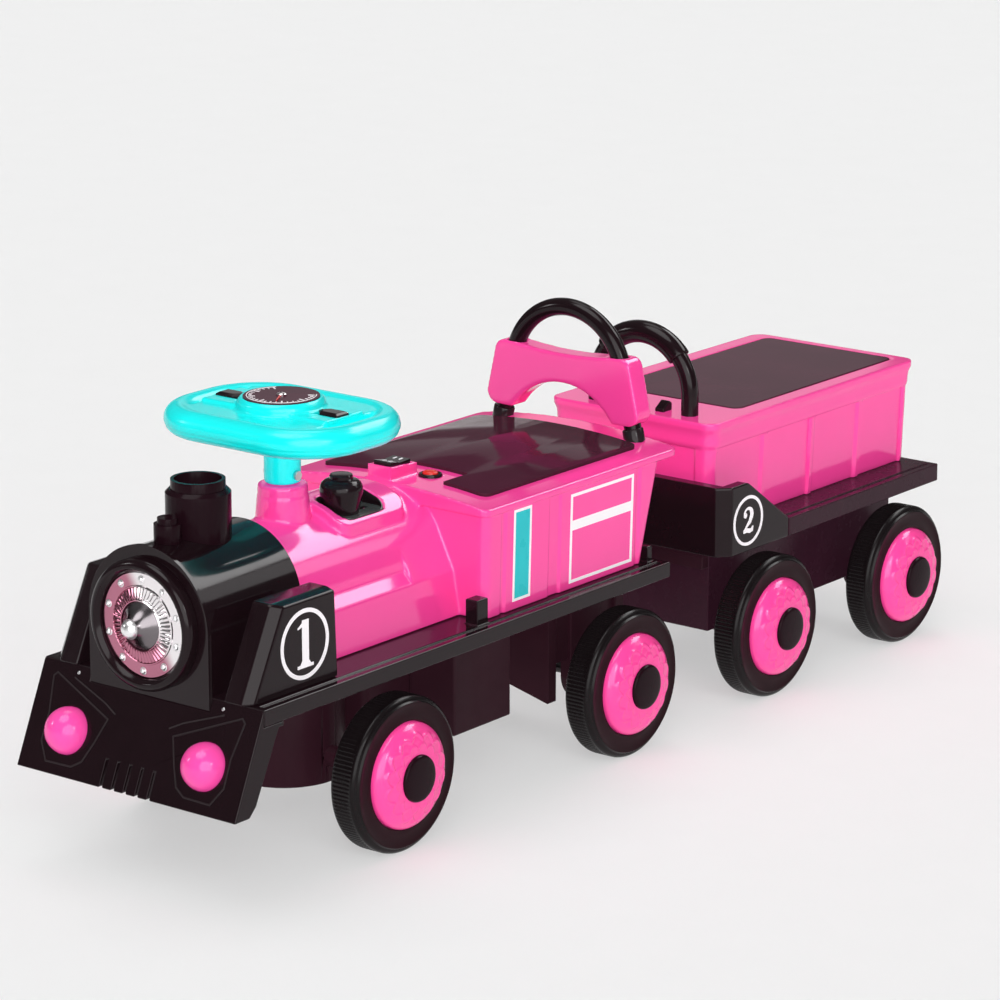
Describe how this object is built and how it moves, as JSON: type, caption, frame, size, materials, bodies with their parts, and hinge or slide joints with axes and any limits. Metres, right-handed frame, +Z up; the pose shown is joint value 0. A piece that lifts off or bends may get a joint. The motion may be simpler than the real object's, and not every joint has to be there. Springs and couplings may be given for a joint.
{
  "type": "ride-on train",
  "caption": "Child's ride-on locomotive with a steering wheel, a seat with a looped backrest, front lamps and a hitched box trailer with a seat and a handle, on domed wheels.",
  "frame": {"origin": "on the floor, under the middle of the train's length and width", "axes": "+Z up; -Y the way the train looks, so +Y runs to the trailer; +X the driver's left"},
  "size_m": [0.296, 1.035, 0.385],
  "materials": {
    "pink_plastic": "glossy moulded",
    "hub_plastic": "glossy moulded",
    "black_plastic": "glossy moulded",
    "tyre_plastic": "satin, treaded",
    "cyan_plastic": "glossy moulded",
    "dark_panel": "high gloss",
    "chrome": "chrome plated",
    "steel": "zinc plated",
    "red_plastic": "glossy moulded"
  },
  "bodies": {
    "locomotive": {"chassis_deck": "black_plastic", "underframe": "black_plastic", "front_skirt": "black_plastic", "front_lamps": "pink_plastic", "smokebox": "black_plastic", "headlamp_bezel": "black_plastic", "headlamp_disc": "chrome", "chimney": "black_plastic", "number_boxes": "black_plastic", "body_shell": "pink_plastic", "shift_gate": "dark_panel", "seat_panel": "dark_panel", "backrest": "pink_plastic", "backrest_tube": "black_plastic", "battery_box": "black_plastic", "rear_axle": "steel", "hitch_pin": "steel"},
    "steering": {"steering_wheel": "cyan_plastic", "steering_badge": "dark_panel", "steering_rod": "steel", "socket_bolt": "steel", "front_yoke": "black_plastic", "front_axle": "steel"},
    "trailer": {"trailer_chassis": "black_plastic", "trailer_front_board": "black_plastic", "trailer_box": "pink_plastic", "trailer_seat": "dark_panel", "trailer_handle": "black_plastic", "trailer_grip": "black_plastic", "trailer_drawbar": "black_plastic", "trailer_axles": "steel"},
    "horn_left": {"horn_button_left": "dark_panel"},
    "horn_right": {"horn_button_right": "dark_panel"},
    "shift_lever": {"shift_lever": "black_plastic"},
    "rocker": {"rocker_switch": "black_plastic"},
    "push_button": {"push_button": "red_plastic"},
    "wheel_front_left": {"tyre_front_left": "tyre_plastic", "hub_front_left": "hub_plastic", "cap_front_left": "black_plastic"},
    "wheel_front_right": {"tyre_front_right": "tyre_plastic", "hub_front_right": "hub_plastic", "cap_front_right": "black_plastic"},
    "wheel_rear_left": {"tyre_rear_left": "tyre_plastic", "hub_rear_left": "hub_plastic", "cap_rear_left": "black_plastic"},
    "wheel_rear_right": {"tyre_rear_right": "tyre_plastic", "hub_rear_right": "hub_plastic", "cap_rear_right": "black_plastic"},
    "wheel_trailer_front_left": {"tyre_trailer_front_left": "tyre_plastic", "hub_trailer_front_left": "hub_plastic", "cap_trailer_front_left": "black_plastic"},
    "wheel_trailer_front_right": {"tyre_trailer_front_right": "tyre_plastic", "hub_trailer_front_right": "hub_plastic", "cap_trailer_front_right": "black_plastic"},
    "wheel_trailer_rear_left": {"tyre_trailer_rear_left": "tyre_plastic", "hub_trailer_rear_left": "hub_plastic", "cap_trailer_rear_left": "black_plastic"},
    "wheel_trailer_rear_right": {"tyre_trailer_rear_right": "tyre_plastic", "hub_trailer_rear_right": "hub_plastic", "cap_trailer_rear_right": "black_plastic"}
  },
  "joints": [
    {"name": "steer", "type": "hinge", "parent": "locomotive", "child": "steering", "pos_m": [0, -0.3154, 0.133], "axis": [0, 0, 1], "range_deg": [-25, 25]},
    {"name": "hitch_yaw", "type": "hinge", "parent": "locomotive", "child": "trailer", "pos_m": [0, 0.1126, 0.129], "axis": [0, 0, 1], "range_deg": [-30, 30]},
    {"name": "shift_slide", "type": "slide", "parent": "locomotive", "child": "shift_lever", "axis": [0, 1, 0], "range_m": [0, 0.02]},
    {"name": "rocker_tilt", "type": "hinge", "parent": "locomotive", "child": "rocker", "pos_m": [-0.007, -0.16462, 0.27701], "axis": [1, 0, 0], "range_deg": [-7, 7]},
    {"name": "push_press", "type": "slide", "parent": "locomotive", "child": "push_button", "axis": [0, 0, -1], "range_m": [0, 0.003], "stiffness_N_per_m": 400},
    {"name": "horn_left_press", "type": "slide", "parent": "steering", "child": "horn_left", "axis": [0, 0, -1], "range_m": [0, 0.002], "stiffness_N_per_m": 400},
    {"name": "horn_right_press", "type": "slide", "parent": "steering", "child": "horn_right", "axis": [0, 0, -1], "range_m": [0, 0.002], "stiffness_N_per_m": 400},
    {"name": "front_left_spin", "type": "hinge", "parent": "steering", "child": "wheel_front_left", "pos_m": [0.1175, -0.3154, 0.067], "axis": [1, 0, 0], "continuous": true},
    {"name": "front_right_spin", "type": "hinge", "parent": "steering", "child": "wheel_front_right", "pos_m": [-0.1175, -0.3154, 0.067], "axis": [1, 0, 0], "continuous": true},
    {"name": "rear_left_spin", "type": "hinge", "parent": "locomotive", "child": "wheel_rear_left", "pos_m": [0.1175, 0.0016, 0.067], "axis": [1, 0, 0], "continuous": true},
    {"name": "rear_right_spin", "type": "hinge", "parent": "locomotive", "child": "wheel_rear_right", "pos_m": [-0.1175, 0.0016, 0.067], "axis": [1, 0, 0], "continuous": true},
    {"name": "trailer_front_left_spin", "type": "hinge", "parent": "trailer", "child": "wheel_trailer_front_left", "pos_m": [0.1175, 0.2266, 0.067], "axis": [1, 0, 0], "continuous": true},
    {"name": "trailer_front_right_spin", "type": "hinge", "parent": "trailer", "child": "wheel_trailer_front_right", "pos_m": [-0.1175, 0.2266, 0.067], "axis": [1, 0, 0], "continuous": true},
    {"name": "trailer_rear_left_spin", "type": "hinge", "parent": "trailer", "child": "wheel_trailer_rear_left", "pos_m": [0.1175, 0.4456, 0.067], "axis": [1, 0, 0], "continuous": true},
    {"name": "trailer_rear_right_spin", "type": "hinge", "parent": "trailer", "child": "wheel_trailer_rear_right", "pos_m": [-0.1175, 0.4456, 0.067], "axis": [1, 0, 0], "continuous": true}
  ]
}
